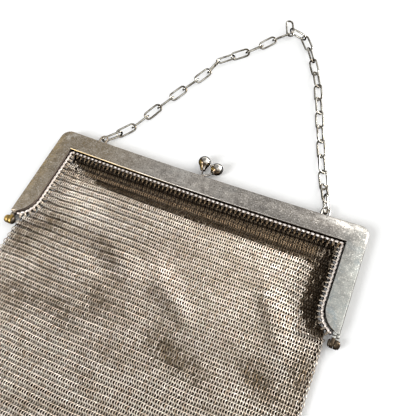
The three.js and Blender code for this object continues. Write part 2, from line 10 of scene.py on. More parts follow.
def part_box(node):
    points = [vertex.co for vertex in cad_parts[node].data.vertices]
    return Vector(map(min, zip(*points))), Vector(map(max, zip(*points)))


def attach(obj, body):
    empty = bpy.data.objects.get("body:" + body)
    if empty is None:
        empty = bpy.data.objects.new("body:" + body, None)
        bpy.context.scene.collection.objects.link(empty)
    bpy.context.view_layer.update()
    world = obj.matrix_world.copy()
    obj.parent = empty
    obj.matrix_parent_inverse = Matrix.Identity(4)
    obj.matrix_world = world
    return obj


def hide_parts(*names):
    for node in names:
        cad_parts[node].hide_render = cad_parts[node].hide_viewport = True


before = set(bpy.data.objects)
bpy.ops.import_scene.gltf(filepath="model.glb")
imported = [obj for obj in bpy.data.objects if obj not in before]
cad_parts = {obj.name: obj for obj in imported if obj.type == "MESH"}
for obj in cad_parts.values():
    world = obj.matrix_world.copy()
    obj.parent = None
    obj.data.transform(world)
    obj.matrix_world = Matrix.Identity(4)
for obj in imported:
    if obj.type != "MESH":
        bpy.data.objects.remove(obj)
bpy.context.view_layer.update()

MM = 0.001
TAU = 2 * math.pi
rng = np.random.default_rng(7)

# Sizes of the solids, in millimetres: x along the bar, y = 0 on the bar's outer edge, z up from the floor
HALF_WIDTH = 75.0
FRAME_LENGTH = 48.3
BAR_WIDTH = 9.3
LEG_WIDTH = 8.3
CORNER_RADIUS = 4.3
LEG_ROUNDING = 10.0
BAR_DIP = 1.0
FRAME_DEPTH = 4.5
EAR_DROP = 3.7
EAR_RADIUS = 1.8
BINDING_OFF = 0.8
BINDING_HEIGHT = 0.7
BAG_OFF = 1.6
BAG_HALF_WIDTH = 70.3
BAG_LENGTH = 168.0
BAG_CORNER = 14.0
BAG_HEIGHT = 3.5
HINGE_Y = -FRAME_LENGTH - EAR_DROP
LEG_INSIDE = HALF_WIDTH - LEG_WIDTH
LEG_FOOT = -FRAME_LENGTH + LEG_ROUNDING
BAG_TOP = -BAR_WIDTH - BAG_OFF

# From the purse's own coordinates to the frame's
Y_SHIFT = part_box("frame_back")[0].y / MM - (HINGE_Y - EAR_RADIUS)


def to_frame(points):
    """Purse coordinates in millimetres to the frame's metres."""
    return (np.asarray(points, float) + (0, Y_SHIFT, 0)) * MM


# ---- Camera ----

IMAGE_SIDE = 416
FOCAL_PIXELS = 507.02
CAMERA_RIGHT = Vector((0.92000546, 0.38851097, -0.05147015))
CAMERA_UP = Vector((-0.31480917, 0.81084165, 0.49338727))
CAMERA_BACK = Vector((0.2334205, -0.43771571, 0.86828557))
CAMERA_PLACE = (58.770, -112.682, 196.856)  # in the purse's millimetres


def add_camera():
    """A pinhole camera at the photo's angle."""
    data = bpy.data.cameras.new("camera")
    data.sensor_width = 36
    data.lens = 36 * FOCAL_PIXELS / IMAGE_SIDE
    data.clip_start = 0.01
    camera = bpy.data.objects.new("camera", data)
    bpy.context.scene.collection.objects.link(camera)
    turn = Matrix((CAMERA_RIGHT, CAMERA_UP, CAMERA_BACK)).transposed().to_4x4()
    camera.matrix_world = Matrix.Translation(to_frame(CAMERA_PLACE)) @ turn
    bpy.context.scene.camera = camera


# ---- Building ----

def add_mesh(name, points, faces, material, tones=None):
    """A new object from points in purse millimetres and same-sided faces, riding on the purse."""
    faces = np.asarray(faces)
    mesh = bpy.data.meshes.new(name)
    mesh.vertices.add(len(points))
    mesh.vertices.foreach_set("co", to_frame(points).astype(np.float32).ravel())
    sides = faces.shape[1]
    mesh.loops.add(faces.size)
    mesh.loops.foreach_set("vertex_index", faces.astype(np.int32).ravel())
    mesh.polygons.add(len(faces))
    mesh.polygons.foreach_set("loop_start", np.arange(0, faces.size, sides, dtype=np.int32))
    mesh.update(calc_edges=True)
    mesh.validate()
    mesh.shade_smooth()
    if tones is not None:
        layer = mesh.attributes.new("tone", "FLOAT_COLOR", "POINT")
        colours = np.concatenate([tones, np.ones((len(tones), 1))], 1)
        layer.data.foreach_set("color", colours.astype(np.float32).ravel())
    piece = bpy.data.objects.new(name, mesh)
    bpy.context.scene.collection.objects.link(piece)
    mesh.materials.append(material)
    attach(piece, "root")
    return piece


def unit(vectors):
    return vectors / np.linalg.norm(vectors, axis=-1, keepdims=True)


def rings(centres, along, across, bend, wire, around, sides, square):
    """Points and quads of closed rings, each in the plane of its along and across; square 2 is a circle."""
    normal = np.cross(along, across)
    turn = np.arange(around) * TAU / around
    section = np.arange(sides) * TAU / sides
    fuller = (np.abs(np.cos(turn)) ** square + np.abs(np.sin(turn)) ** square) ** (-1 / square)
    spoke = (np.cos(turn) * fuller)[None, :, None] * along[:, None]
    spoke = spoke + (np.sin(turn) * fuller)[None, :, None] * across[:, None]
    reach = bend + wire * np.cos(section)
    points = (
        centres[:, None, None]
        + reach[None, None, :, None] * spoke[:, :, None]
        + (wire * np.sin(section))[None, None, :, None] * normal[:, None, None]
    )
    ring = np.arange(around)[:, None]
    side = np.arange(sides)[None]
    here, after = ring * sides, (ring + 1) % around * sides
    beside = (side + 1) % sides
    quads = np.stack([here + side, after + side, after + beside, here + beside], -1)
    quads = quads.reshape(1, -1, 4) + (np.arange(len(centres)) * around * sides)[:, None, None]
    return points.reshape(-1, 3), quads.reshape(-1, 4)


def wall_quads(rows, around, closed):
    """Quads between rows of points, each row a loop; where closed, the last row joins the first."""
    row = np.arange(rows if closed else rows - 1)[:, None]
    here, after = row * around, (row + 1) % rows * around
    place = np.arange(around)[None]
    beside = (place + 1) % around
    return np.stack([here + place, here + beside, after + beside, after + place], -1).reshape(-1, 4)


def tube(path, wire, sides, closed):
    """Points and quads of a round tube along a path."""
    path = np.asarray(path, float)
    count = len(path)
    if closed:
        ways = unit(np.roll(path, -1, 0) - np.roll(path, 1, 0))
    else:
        ways = unit(np.gradient(path, axis=0))
    side = np.cross(ways[0], (0.31, 0.17, 0.93))
    frames = []
    for way in ways:
        side = side - way * (side @ way)
        side = side / np.linalg.norm(side)
        frames.append((side, np.cross(way, side)))
    first, second = np.array(frames).swapaxes(0, 1)[:, :, None]
    angle = np.arange(sides)[None, :, None] * TAU / sides
    points = path[:, None] + wire * (np.cos(angle) * first + np.sin(angle) * second)
    return points.reshape(-1, 3), wall_quads(count, sides, closed)


# ---- The pouch's surface ----

VALLEY_DEPTH = 1.8  # of the mesh beside the frame
FOLDS = [  # place as shares of the pouch's width and length, run, across, turn, rise
    (-0.31, 0.22, 16, 9, -12, 0.55),
    (-0.18, 0.33, 9, 5, -31, -0.75),
    (-0.10, 0.32, 10, 6, -35, 0.55),
    (0.05, 0.335, 15, 5, -28, 0.5),
    (0.03, 0.385, 13, 4, -26, -0.38),
    (-0.25, 0.45, 9, 7, 60, -0.45),
    (-0.17, 0.47, 13, 6, 62, 0.55),
    (0.19, 0.46, 12, 7, 10, -0.65),
    (0.36, 0.30, 14, 5, -58, 0.7),
    (0.31, 0.315, 13, 4, -60, -0.40),
    (0.37, 0.44, 11, 7, 25, -0.7),
    (-0.10, 0.68, 30, 16, 8, 0.45),
    (0.24, 0.78, 18, 14, -10, 0.35),
]


def bar_sag(x):
    share = np.minimum(1, np.abs(x) / (HALF_WIDTH - CORNER_RADIUS))
    return -BAR_DIP * (1 - share * share)


def smooth(value, low, high):
    share = np.clip((value - low) / (high - low), 0, 1)
    return share * share * (3 - 2 * share)


def half_width(y):
    drop = np.clip((LEG_FOOT - y) / (LEG_ROUNDING + BAG_OFF), 0, 1)
    beside = HALF_WIDTH - (LEG_WIDTH + BAG_OFF) * np.sqrt(1 - drop * drop)
    corner = np.clip((-BAG_LENGTH + BAG_CORNER - y) / BAG_CORNER, 0, 1)
    return np.minimum(beside, BAG_HALF_WIDTH) - BAG_CORNER * (1 - np.sqrt(1 - corner * corner))


def front_height(x, y):
    """Height of the front of the pouch, outside face."""
    rise = np.zeros_like(x)
    for place_x, place_y, run, across, turn, height in FOLDS:
        dx = x - place_x * 2 * BAG_HALF_WIDTH
        dy = y + place_y * BAG_LENGTH
        cos, sin = math.cos(math.radians(turn)), math.sin(math.radians(turn))
        rise += height * np.exp(
            -(((dx * cos + dy * sin) / run) ** 2) - ((dy * cos - dx * sin) / across) ** 2
        )
    from_bar = np.maximum(0, BAG_TOP + bar_sag(x) - y)
    from_side = np.where(y > HINGE_Y, half_width(y) - np.abs(x), 99)
    edge = np.maximum(0, np.minimum(from_bar, from_side))
    valley = smooth(edge, 0, 2.5) * (1 - smooth(edge, 6.5, 13.5)) * np.where(
        (from_side < from_bar) & (x < 0), 0.35, 1.0
    )
    return BAG_HEIGHT + rise * smooth(edge, 5, 13) - VALLEY_DEPTH * valley


# ---- Materials ----

def start(name):
    material = bpy.data.materials.new(name)
    material.use_nodes = True
    tree = material.node_tree
    return material, tree, tree.nodes["Principled BSDF"]


def add(tree, kind, values=None, **settings):
    node = tree.nodes.new(kind)
    for key, value in settings.items():
        setattr(node, key, value)
    for key, value in (values or {}).items():
        if isinstance(value, bpy.types.NodeSocket):
            tree.links.new(value, node.inputs[key])
        else:
            node.inputs[key].default_value = value
    return node


def object_place(tree):
    return add(tree, "ShaderNodeTexCoord").outputs["Object"]


def noise(tree, vector, size_mm, detail=2.0, rough=0.5):
    """Noise whose cells are about size_mm wide."""
    values = {"Vector": vector, "Scale": 1 / (size_mm * MM), "Detail": detail, "Roughness": rough}
    return add(tree, "ShaderNodeTexNoise", values).outputs["Fac"]


def ramp(tree, value, stops):
    node = add(tree, "ShaderNodeValToRGB", {"Fac": value})
    elements = node.color_ramp.elements
    while len(elements) < len(stops):
        elements.new(0.5)
    for element, (position, colour) in zip(elements, stops):
        element.position = position
        element.color = (*colour, 1) if len(colour) == 3 else colour
    return node.outputs["Color"]


def grey(value):
    return (value, value, value)


def mix(tree, share, a, b, blend="MIX"):
    node = add(tree, "ShaderNodeMix", data_type="RGBA", blend_type=blend)
    for index, value in ((0, share), (6, a), (7, b)):
        if isinstance(value, bpy.types.NodeSocket):
            tree.links.new(value, node.inputs[index])
        else:
            node.inputs[index].default_value = value if index == 0 else (*value, 1)
    return node.outputs[2]


def calc(tree, operation, a, b=0.0):
    node = add(tree, "ShaderNodeMath", operation=operation)
    for index, value in enumerate((a, b)):
        if isinstance(value, bpy.types.NodeSocket):
            tree.links.new(value, node.inputs[index])
        else:
            node.inputs[index].default_value = value
    return node.outputs[0]


def times(tree, a, b):
    return calc(tree, "MULTIPLY", a, b)


def most(tree, a, b):
    return calc(tree, "MAXIMUM", a, b)


def spread(tree, value, low, high, to_low=0.0, to_high=1.0):
    values = {"Value": value, "From Min": low, "From Max": high, "To Min": to_low, "To Max": to_high}
    node = add(tree, "ShaderNodeMapRange", values)
    node.clamp = True
    return node.outputs["Result"]


def bump(tree, height, depth_mm, strength=1.0):
    values = {"Height": height, "Distance": depth_mm * MM, "Strength": strength}
    return add(tree, "ShaderNodeBump", values).outputs["Normal"]


def blob(tree, vector, centre, radii):
    """1 inside an oval patch of the surface, fading to 0 at its edge."""
    middle = to_frame((*centre, 0))
    moved = add(tree, "ShaderNodeVectorMath", {0: vector, 1: tuple(middle)}, operation="SUBTRACT").outputs[
        0
    ]
    shrink = (1 / (radii[0] * MM), 1 / (radii[1] * MM), 0)
    scaled = add(tree, "ShaderNodeVectorMath", {0: moved, 1: shrink}, operation="MULTIPLY").outputs[0]
    far = add(tree, "ShaderNodeVectorMath", {0: scaled}, operation="LENGTH").outputs["Value"]
    return spread(tree, far, 0.35, 1.0, 1.0, 0.0)


def scratches(tree, vector, angle, spacing_mm, length_mm, amount):
    """Thin straight scratches in one direction."""
    turned = add(tree, "ShaderNodeMapping", {
        "Vector": vector,
        "Rotation": (0, 0, math.radians(angle)),
        "Scale": (1 / (length_mm * MM), 1 / (spacing_mm * MM), 1),
    }).outputs["Vector"]
    streak = add(tree, "ShaderNodeTexNoise", {"Vector": turned, "Scale": 1.0, "Detail": 3.0}).outputs["Fac"]
    return spread(tree, streak, 1 - amount, 1 - amount + 0.03)


def plate_colour(tree, vector, broad, middle, painted_sky_reflection):
    """Silver plate with painted reflections: brown over the left, blue-grey on the right leg."""
    colour = ramp(
        tree, broad, [(0.34, (0.37, 0.34, 0.31)), (0.5, (0.49, 0.455, 0.42)), (0.66, (0.60, 0.58, 0.55))]
    )
    colour = mix(tree, spread(tree, middle, 0.42, 0.68, 0, 0.55), colour, (0.66, 0.63, 0.58))
    # Painted reflection: brown over the left of the bar and the left leg.
    brown = most(tree, blob(tree, vector, (-64, -8), (42, 30)), blob(tree, vector, (-72, -34), (16, 30)))
    brown = times(tree, brown, spread(tree, middle, 0.25, 0.7, 0.95, 0.45))
    colour = mix(tree, brown, colour, (0.40, 0.31, 0.19))
    # Painted reflection of the sky on the right leg: pale, with blue-grey patches.
    colour = mix(
        tree, times(tree, painted_sky_reflection, spread(tree, broad, 0.3, 0.7, 0.6, 0.95)), colour, (0.58, 0.62, 0.60)
    )
    blue = times(tree, painted_sky_reflection, spread(tree, noise(tree, vector, 5, 2, 0.5), 0.55, 0.66))
    colour = mix(tree, times(tree, blue, 0.6), colour, (0.47, 0.55, 0.58))
    gold = times(tree, blob(tree, vector, (-78, -14), (9, 46)), spread(tree, middle, 0.4, 0.62))
    colour = mix(tree, times(tree, gold, 0.75), colour, (0.60, 0.43, 0.18))
    return colour


def painted_glints_and_shade(tree, vector, colour, middle):
    """Painted shade on the right half of the bar, and painted glints at both of its corners."""
    # Painted shade: the right half of the bar darker.
    shade = blob(tree, vector, (44, -5), (46, 22))
    colour = mix(tree, times(tree, shade, 0.75), colour, (0.27, 0.255, 0.24))
    # Painted glints: a bright streak by the right corner and round its rim, two short ones at the left
    # corner.
    painted_glint = most(
        tree, blob(tree, vector, (62.5, -2.0), (11.5, 1.8)), blob(tree, vector, (75.2, -5), (1.6, 8))
    )
    painted_left_glints = most(
        tree, blob(tree, vector, (-68.9, -1.6), (1.7, 1.3)), blob(tree, vector, (-71.0, -4.0), (1.5, 2.2))
    )
    painted_glint = most(tree, painted_glint, times(tree, painted_left_glints, 0.5))
    painted_glint = times(tree, painted_glint, spread(tree, middle, 0.28, 0.44))
    colour = mix(tree, painted_glint, colour, (0.98, 0.96, 0.92))
    return colour


def specks_and_pits(tree, vector, colour, fine, painted_sky_reflection):
    speck = spread(tree, fine, 0.54, 0.66)
    colour = mix(tree, times(tree, speck, 0.8), colour, (0.84, 0.81, 0.76))
    pits = spread(tree, noise(tree, vector, 0.75, 2, 0.6), 0.42, 0.34)
    pits = times(tree, pits, spread(tree, painted_sky_reflection, 0, 0.5, 0.8, 0.15))
    colour = mix(tree, pits, colour, (0.15, 0.13, 0.10))
    return colour


def frame_scratches(tree, vector):
    marks = most(
        tree, scratches(tree, vector, 24, 0.14, 9, 0.35), scratches(tree, vector, -51, 0.16, 6, 0.33)
    )
    return most(tree, marks, scratches(tree, vector, 82, 0.14, 5, 0.32))


def frame_edges(tree, vector, colour):
    """A line along the opening, golden at the left and elsewhere dark as painted shade of the gap; painted
    shade on the walls and bevels where the sheet is bent over.
    """
    place = add(tree, "ShaderNodeSeparateXYZ", {0: vector}).outputs
    share = calc(tree, "DIVIDE", place[0], (HALF_WIDTH - CORNER_RADIUS) * MM)
    dip = times(tree, calc(tree, "POWER", calc(tree, "ABSOLUTE", share), 2.0), BAR_DIP * MM)
    inner = calc(tree, "SUBTRACT", dip, (BAR_WIDTH + BAR_DIP - Y_SHIFT) * MM)
    off = calc(tree, "ABSOLUTE", calc(tree, "SUBTRACT", place[1], inner))
    between = calc(tree, "LESS_THAN", calc(tree, "ABSOLUTE", place[0]), (LEG_INSIDE + 0.1) * MM)
    # Painted shade of the gap along the opening as a dark line, golden at the left.
    line = times(tree, spread(tree, off, 0.12 * MM, 0.30 * MM, 1, 0), between)
    golden = spread(tree, place[0], -38 * MM, -8 * MM, 1, 0)
    colour = mix(tree, line, colour, mix(tree, golden, (0.05, 0.042, 0.035), (0.25, 0.17, 0.07)))
    normal = add(tree, "ShaderNodeNewGeometry").outputs["Normal"]
    turned_up = add(tree, "ShaderNodeSeparateXYZ", {0: normal}).outputs
    # Painted shade on the bar's inner wall.
    wall = times(tree, spread(tree, turned_up[2], 0.35, 0.7, 1, 0), between)
    colour = mix(
        tree, times(tree, wall, spread(tree, turned_up[1], -0.6, -0.3, 0.92, 0)), colour,
        (0.05, 0.04, 0.03),
    )
    # Painted shade on the left leg's inner wall, darker on its bevel.
    leg_wall = times(
        tree, spread(tree, turned_up[2], 0.75, 0.97, 1, 0),
        spread(tree, turned_up[0], 0.15, 0.35, 0, 0.95),
    )
    leg_wall = times(tree, leg_wall, calc(tree, "LESS_THAN", place[0], 0.0))
    colour = mix(
        tree, leg_wall, colour,
        mix(tree, spread(tree, turned_up[2], 0.25, 0.45), (0.24, 0.20, 0.18), (0.05, 0.042, 0.036)),
    )
    # Painted shade on the right leg's inner wall and bevels, and less deep on its outer bevel.
    at_right = calc(tree, "GREATER_THAN", place[0], 0.0)
    right_side = times(tree, spread(tree, turned_up[2], 0.80, 0.98, 1, 0), at_right)
    right_inner = times(tree, right_side, spread(tree, turned_up[0], -0.25, -0.1, 1, 0))
    colour = mix(tree, right_inner, colour, (0.04, 0.034, 0.028))
    right_outer = times(tree, right_side, spread(tree, turned_up[0], 0.1, 0.25, 0, 0.9))
    colour = mix(tree, right_outer, colour, (0.22, 0.22, 0.21))
    return colour


def frame_ends(tree, vector, colour):
    """Bronze knuckles at the legs' ends, with painted shade in a dark line where they begin."""
    place = add(tree, "ShaderNodeSeparateXYZ", {0: vector}).outputs

    def above(low, high):
        """0 below the first level along the legs, 1 above the second."""
        return spread(tree, place[1], (low + Y_SHIFT) * MM, (high + Y_SHIFT) * MM)

    end = above(-FRAME_LENGTH - 0.75, -FRAME_LENGTH - 0.55)
    knuckle = calc(tree, "SUBTRACT", 1.0, above(HINGE_Y + 1.7, HINGE_Y + 2.1))
    # Painted shade of the gap below the end of each leg.
    gap = above(-FRAME_LENGTH - 1.3, -FRAME_LENGTH - 1.1)
    gap = most(tree, times(tree, calc(tree, "SUBTRACT", 1.0, end), gap), 0.0)
    bronze = mix(tree, spread(tree, place[0], -1 * MM, 1 * MM), (0.42, 0.29, 0.10), (0.085, 0.065, 0.045))
    colour = mix(tree, knuckle, colour, bronze)
    colour = mix(tree, times(tree, gap, 0.9), colour, (0.035, 0.028, 0.022))
    return colour


def frame_material(name):
    """Old silver plate, dull and scratched, with painted reflections, glints and shade."""
    material, tree, shader = start(name)
    vector = object_place(tree)
    broad = noise(tree, vector, 11, 3, 0.6)
    middle = noise(tree, vector, 2.6, 3, 0.65)
    fine = noise(tree, vector, 0.55, 2, 0.7)
    # Where the right leg carries a painted reflection of the sky.
    painted_sky_reflection = blob(tree, vector, (72, -30), (13, 42))
    marks = frame_scratches(tree, vector)
    colour = plate_colour(tree, vector, broad, middle, painted_sky_reflection)
    colour = painted_glints_and_shade(tree, vector, colour, middle)
    colour = specks_and_pits(tree, vector, colour, fine, painted_sky_reflection)
    colour = mix(tree, times(tree, marks, 0.6), colour, (0.90, 0.87, 0.82))
    colour = frame_edges(tree, vector, colour)
    colour = frame_ends(tree, vector, colour)
    tree.links.new(colour, shader.inputs["Base Color"])
    shader.inputs["Metallic"].default_value = 1.0
    rough = calc(tree, "ADD", spread(tree, middle, 0.3, 0.7, 0.30, 0.44), times(tree, fine, 0.12))
    tree.links.new(rough, shader.inputs["Roughness"])
    height = calc(tree, "ADD", times(tree, broad, 2.0), times(tree, fine, 0.6))
    height = calc(tree, "SUBTRACT", height, times(tree, marks, 0.15))
    tree.links.new(bump(tree, height, 0.08), shader.inputs["Normal"])
    return material


def bright_material(name, base, dark, roughness=0.16, patch_mm=2.5, dull=0.6, gold=0.0, metallic=1.0):
    """Polished plate, worn: patches of tarnish, some of them golden, and fine scratches."""
    material, tree, shader = start(name)
    vector = object_place(tree)
    middle = noise(tree, vector, patch_mm, 3, 0.6)
    fine = noise(tree, vector, 0.5, 2, 0.6)
    colour = mix(tree, spread(tree, middle, 0.44, 0.60, 0, dull), base, dark)
    warm = spread(tree, noise(tree, vector, patch_mm * 0.8, 2, 0.5), 0.56, 0.66, 0, gold)
    colour = mix(tree, warm, colour, (0.86, 0.62, 0.28))
    marks = scratches(tree, vector, 15, 0.1, 3, 0.3)
    marks = most(tree, marks, scratches(tree, vector, 70, 0.1, 3, 0.3))
    colour = mix(tree, times(tree, marks, 0.4), colour, (0.95, 0.93, 0.9))
    tree.links.new(colour, shader.inputs["Base Color"])
    shader.inputs["Metallic"].default_value = metallic
    tree.links.new(spread(tree, middle, 0.3, 0.75, roughness, roughness + 0.14), shader.inputs["Roughness"])
    tree.links.new(
        bump(tree, calc(tree, "ADD", middle, times(tree, fine, 0.2)), 0.05), shader.inputs["Normal"]
    )
    return material


def ring_material(name):
    """Wire rings; "tone" holds how high on its ring a place is, its tarnish with painted shade and shadow,
    and the ring's own chance.
    """
    material, tree, shader = start(name)
    vector = object_place(tree)
    tone = add(tree, "ShaderNodeAttribute", attribute_name="tone").outputs["Color"]
    split = add(tree, "ShaderNodeSeparateColor", {0: tone})
    crown, tarnish_and_shade, own = split.outputs[0], split.outputs[1], split.outputs[2]
    fine = noise(tree, vector, 0.3, 2, 0.6)
    slant = {"Vector": vector, "Rotation": (0, 0, math.radians(32)), "Scale": (0.4, 1, 1)}
    slanted = add(tree, "ShaderNodeMapping", slant).outputs["Vector"]
    patches = noise(tree, slanted, 6, 3, 0.6)
    polished = ramp(tree, own, [
        (0.0, (0.66, 0.53, 0.42)),
        (0.25, (0.84, 0.76, 0.67)),
        (0.6, (0.86, 0.80, 0.725)),
        (1.0, (0.92, 0.88, 0.83)),
    ])
    worn = mix(tree, spread(tree, patches, 0.46, 0.66, 0, 0.6), polished, (0.50, 0.42, 0.33))
    # Painted shade of the hollows between rings: each ring's low parts are near black.
    dark = mix(tree, own, (0.02, 0.014, 0.010), (0.12, 0.088, 0.064))
    worn = mix(tree, spread(tree, tarnish_and_shade, 0.0, 0.7), worn, (0.40, 0.335, 0.25))
    colour = mix(tree, spread(tree, crown, 0.30, 0.54), dark, worn)
    # Where a ring carries tarnish and painted shadow: brown on its crown, near black below.
    brown = mix(tree, own, (0.02, 0.014, 0.009), (0.38, 0.27, 0.165))
    colour = mix(tree, tarnish_and_shade, colour, mix(tree, spread(tree, crown, 0.66, 0.9), dark, brown))
    tree.links.new(colour, shader.inputs["Base Color"])
    shader.inputs["Metallic"].default_value = 1.0
    tree.links.new(spread(tree, fine, 0.3, 0.7, 0.30, 0.48), shader.inputs["Roughness"])
    tree.links.new(bump(tree, fine, 0.02), shader.inputs["Normal"])
    return material


def sheet_material(name):
    """The pouch's back, seen through the holes of the front and from behind, painted dark as the shade it
    lies in.
    """
    material, tree, shader = start(name)
    vector = object_place(tree)
    split = add(tree, "ShaderNodeSeparateXYZ", {0: vector})
    row = calc(tree, "DIVIDE", split.outputs["Y"], ROW_PITCH * MM)
    odd = calc(tree, "MODULO", calc(tree, "ABSOLUTE", calc(tree, "FLOOR", row)), 2.0)
    column = calc(
        tree, "ADD", calc(tree, "DIVIDE", split.outputs["X"], RING_PITCH * MM), times(tree, odd, 0.5)
    )
    wave_x = calc(tree, "ABSOLUTE", calc(tree, "SINE", times(tree, column, math.pi)))
    wave_y = calc(tree, "ABSOLUTE", calc(tree, "SINE", times(tree, row, math.pi)))
    height = times(tree, wave_x, calc(tree, "POWER", wave_y, 0.5))
    grain = noise(tree, vector, 1.3, 2, 0.6)
    # Painted shade: near black between the bumps of the ring pattern, dark brown on them.
    colour = mix(tree, spread(tree, height, 0.25, 0.75), (0.03, 0.024, 0.019), (0.26, 0.215, 0.17))
    colour = mix(tree, spread(tree, grain, 0.4, 0.7, 0, 0.4), colour, (0.30, 0.24, 0.17))
    tree.links.new(colour, shader.inputs["Base Color"])
    shader.inputs["Metallic"].default_value = 0.9
    shader.inputs["Roughness"].default_value = 0.5
    tree.links.new(bump(tree, height, 0.5), shader.inputs["Normal"])
    return material


# ---- Ring mesh ----

RING_PITCH = 1.035  # from ring to ring along a row
ROW_PITCH = 1.58
RING_BEND = 0.93  # from a ring's middle to the centre line of its wire
RING_SQUARE = 3.0  # 2 is a round ring, more is squarer
RING_WIRE = 0.2  # radius of the wire
RING_LEAN = 34.0  # degrees from lying flat
SIDE_LEAN = 24.0  # how far both kinds of row lean over at the left edge
EDGE_LEAN = 20.0  # how much steeper the rings stand beside the frame
RING_WOBBLE = 3.0  # degrees by which rings differ
RING_JITTER = 0.03  # and how far they are out of place
RING_STEPS = 10
RING_SIDES = 3
STEP = 0.4  # between the places that give the layer its slope
LAYER = 0.74  # from the pouch's face to the middle of its rings
SIDE_BEND = 0.85  # radius of the fold at the pouch's sides, to the middle of its rings
SIDE_INSET = 0.75  # from the pouch's side to where the fold begins, beyond its radius
BOTTOM_INSET = 0.82
FOLD_TURN = math.radians(165)
FLOOR_GAP = 0.03
RING_PARTS = 5  # meshes that the rings are joined into
BACK_THICK = 0.5
BACK_COLUMNS, BACK_ROWS = 60, 90


def surface_point(x, y):
    """Middle of the ring layer, folded round to the back at the pouch's sides and bottom."""
    edge = half_width(y) - SIDE_BEND - SIDE_INSET
    free = y < HINGE_Y + 2
    over = np.where(free, np.maximum(0, np.abs(x) - edge), 0)
    angle = np.minimum(over / SIDE_BEND, FOLD_TURN)
    base_x = np.where(over > 0, edge, np.abs(x)) * np.sign(x)
    height = front_height(base_x, y) - LAYER
    place_x = base_x + np.sign(x) * SIDE_BEND * np.sin(angle)
    bottom = -BAG_LENGTH + SIDE_BEND + BOTTOM_INSET
    under = np.minimum(np.maximum(0, bottom - y) / SIDE_BEND, FOLD_TURN)
    place_y = np.maximum(y, bottom) - SIDE_BEND * np.sin(under)
    place_z = height - SIDE_BEND * (1 - np.cos(np.maximum(angle, under)))
    return np.stack([place_x, place_y, place_z], -1)


def ring_layer():
    rows = math.ceil((BAG_TOP + BAG_LENGTH) / ROW_PITCH) + 1
    centres = []
    leans = []
    pairs = []
    for row in range(rows):
        level = BAG_TOP - 0.2 - row * ROW_PITCH
        limit = float(half_width(np.array(level)))
        free = level < HINGE_Y
        reach = limit - 0.9 + (SIDE_BEND * 1.9 if free else 0)
        count = int(reach / RING_PITCH)
        index = np.arange(-count, count + 1)
        x = (index + 0.5 * (row % 2)) * RING_PITCH
        index = index[np.abs(x) <= reach]
        x = x[np.abs(x) <= reach]
        y = level + bar_sag(x) * math.exp((level - BAG_TOP) / (2 * LEG_WIDTH))
        centres.append(np.stack([x, y], -1))
        leans.append(np.full(len(x), 1.0 if row % 2 else -1.0))
        pairs.append(np.stack([1 - 2.0 * (index % 2), np.full(len(x), 1 - 2.0 * (row // 2 % 2))], -1))
    return np.concatenate(centres), np.concatenate(leans), np.concatenate(pairs)


TARNISH_AND_SHADE = [  # place, run, across, turn, depth: darker in the dents, tarnish with painted shade; lighter on the folds, painted light
    (-32.0, -42.0, 42, 26, -20, 0.10),
    (-31.3, -79.0, 11, 6, -20, 0.26),
    (-50.0, -80.6, 8, 6, -20, 0.24),
    (-24.4, -51.2, 9, 5, -20, 0.26),
    (-19.1, -69.5, 10, 5, -50, 0.30),
    (6.0, -60.0, 15, 3.2, -28, 0.20),
    (12.5, -76.1, 8, 6, -50, 0.24),
    (24.8, -80.8, 11, 4.5, -15, 0.42),
    (52.2, -75.4, 9, 4.5, -25, 0.50),
    (46.5, -51.5, 11, 2.6, -58, 0.28),
    (66.2, -68.0, 4, 8, 0, 0.42),
    (-55.0, -46.0, 9, 5, 30, 0.30),
    (-64.0, -58.0, 7, 5, 70, 0.30),
    (-44.0, -35.9, 12, 7, -10, -0.35),
    (-28.7, -58.3, 10, 5, -30, -0.35),
    (-12.4, -50.4, 10, 4, -35, -0.35),
    (8.0, -53.0, 14, 3.5, -40, -0.28),
    (51.0, -49.0, 13, 4, -58, -0.32),
]
SHADED = [  # place, run, across, depth: where more of each ring is painted dark, as painted shade
    (-50.0, -40.0, 42, 38, 0.15),
    (6.0, -38.0, 32, 26, 0.12),
]
BAR_SHADE = 11.4  # width of the band of painted shadow under the bar
LEG_SHADE = 7.4  # and beside the right leg


def ring_tarnish_and_shade(x, y):
    """0 where the rings are bright, 1 where they are black: tarnish with painted shade in the dents, painted
    light on the folds, and painted shadow of the frame under the bar and beside the right leg.
    """
    dull = np.full_like(x, 0.12)
    for place_x, place_y, run, across, turn, depth in TARNISH_AND_SHADE:
        dx, dy = x - place_x, y - place_y
        cos, sin = math.cos(math.radians(turn)), math.sin(math.radians(turn))
        dull += depth * np.exp(
            -(((dx * cos + dy * sin) / run) ** 2) - ((dy * cos - dx * sin) / across) ** 2
        )
    # Painted shadow of the frame: a dark band under the bar, and beside the right leg.
    from_bar = BAG_TOP + bar_sag(x) - y
    from_right = half_width(y) - x
    wide = 3 + (BAR_SHADE - 3) * smooth(x, -66, -38)
    under_bar = 1 - smooth(from_bar, wide - 1.2, wide + 1.6)
    beside_leg = (1 - smooth(from_right, LEG_SHADE - 1.2, LEG_SHADE + 1.4)) * smooth(
        y, HINGE_Y - 3, HINGE_Y + 6
    )
    return np.maximum(dull, np.maximum(0.93 * under_bar, 1.25 * beside_leg))


def band_tone(x, y):
    """How brown rather than black the rings are: brownest in the middle of the painted shadow under the bar,
    near black in the painted shadow beside the right leg.
    """
    from_bar = BAG_TOP + bar_sag(x) - y
    middle = smooth(from_bar, 1.0, 4.0) * (1 - smooth(from_bar, BAR_SHADE - 5.5, BAR_SHADE - 1.5))
    in_band = 1 - smooth(from_bar, BAR_SHADE, BAR_SHADE + 2)
    beside_leg = (1 - smooth(half_width(y) - x, LEG_SHADE, LEG_SHADE + 2)) * smooth(
        y, HINGE_Y - 3, HINGE_Y + 6
    )
    return (1 - in_band * (1 - np.maximum(0.3, middle))) * (1 - 0.9 * beside_leg)


